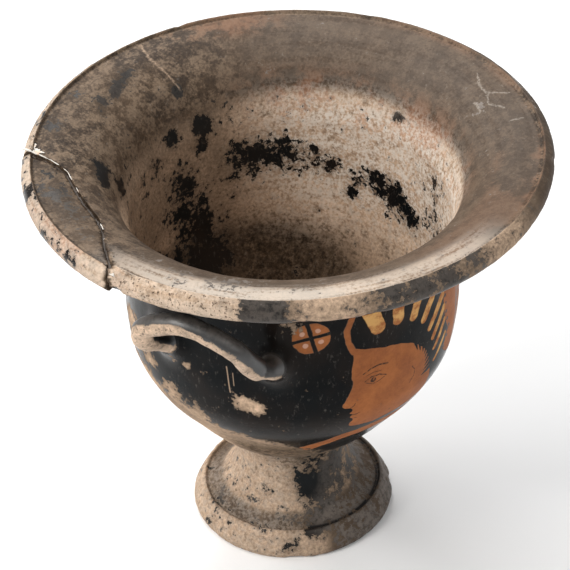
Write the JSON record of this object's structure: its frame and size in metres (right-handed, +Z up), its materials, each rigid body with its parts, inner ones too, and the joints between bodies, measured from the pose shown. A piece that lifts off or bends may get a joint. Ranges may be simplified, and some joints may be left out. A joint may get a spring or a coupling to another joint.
{
  "type": "bell krater",
  "caption": "Small ancient bell krater of fired clay: flaring rim, deep bowl, two upturned loop handles, short stem and stepped foot; a piece of the rim is glued back.",
  "frame": {"origin": "middle of the rim's circle, dropped to the level of the base", "axes": "+Z up, handles on the X axis, side A with the painted head towards -Y"},
  "size_m": [0.24, 0.24, 0.2065],
  "materials": {
    "glazed_clay": "satin black slip with reserved orange figures, worn and chipped to tan clay",
    "worn_clay": "matt brown-grey worn slip over tan clay",
    "plaster": "matt off-white repair plaster"
  },
  "bodies": {
    "root": {"krater": "glazed_clay", "rim_sherd": "worn_clay"}
  },
  "joints": []
}
